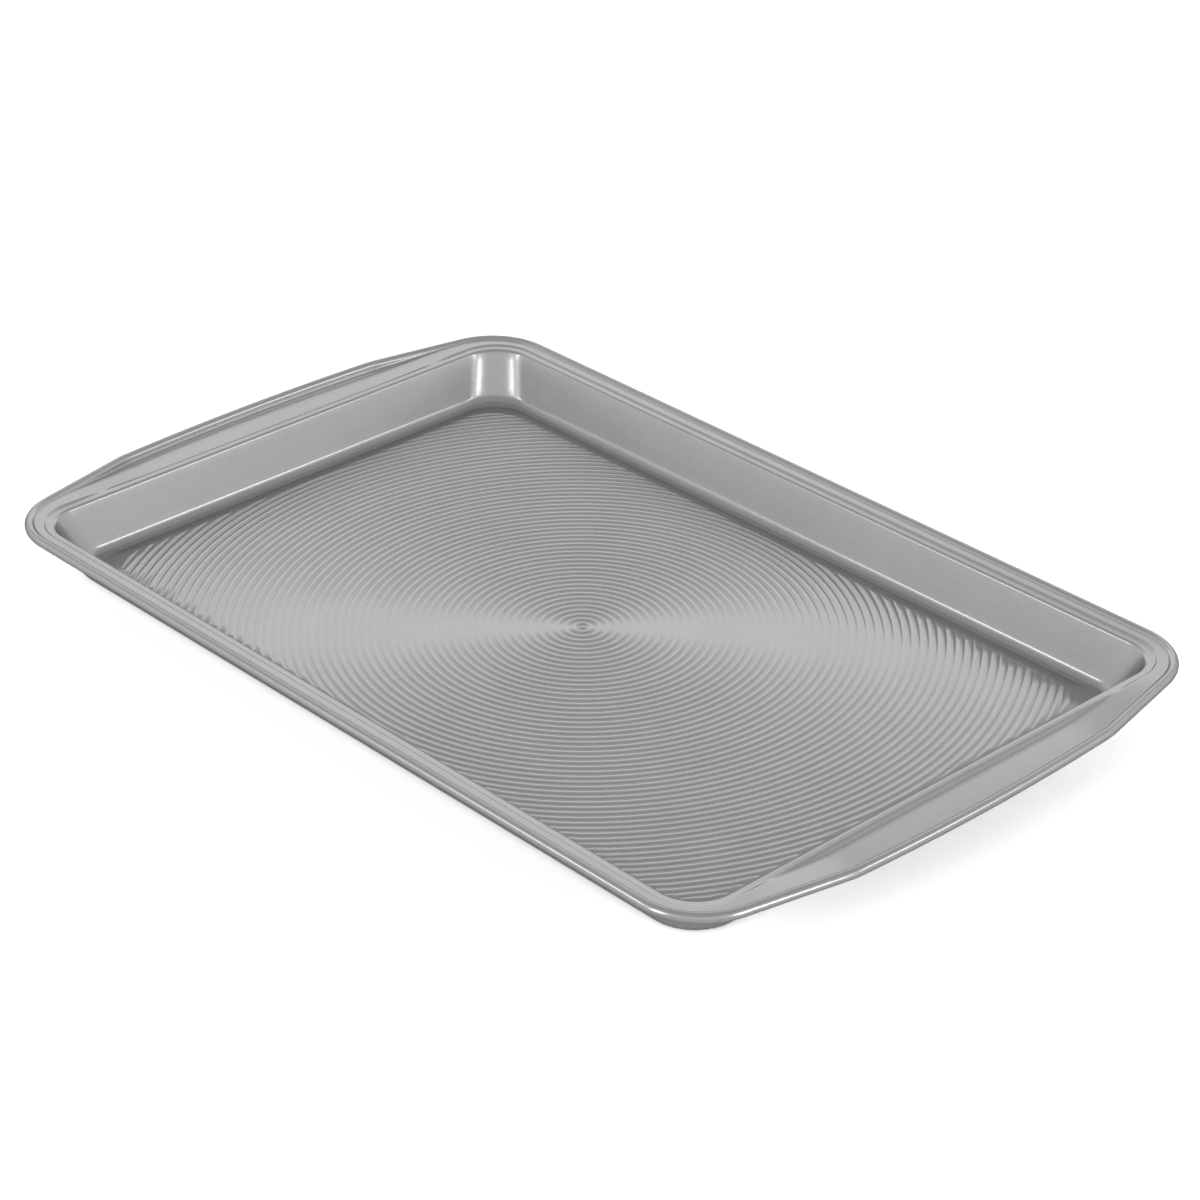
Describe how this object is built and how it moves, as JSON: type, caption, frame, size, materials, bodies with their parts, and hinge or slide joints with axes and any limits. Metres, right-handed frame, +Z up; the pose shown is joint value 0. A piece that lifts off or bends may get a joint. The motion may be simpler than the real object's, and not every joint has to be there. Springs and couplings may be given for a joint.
{
  "type": "jelly roll pan",
  "caption": "Shallow rectangular baking pan with a ring-textured floor, sloped walls, a rim rolled round a wire and a wide dished handle at each end.",
  "frame": {"origin": "middle of the underside, on the plane that the pan rests on", "axes": "+X along the pan's length, towards a handle; +Y across the pan; +Z up, out of the open side"},
  "size_m": [0.433, 0.276, 0.0231],
  "materials": {
    "coated_sheet": "satin",
    "wire": "satin"
  },
  "bodies": {
    "root": {"pan_body": "coated_sheet", "rim_wire": "wire"}
  },
  "joints": []
}
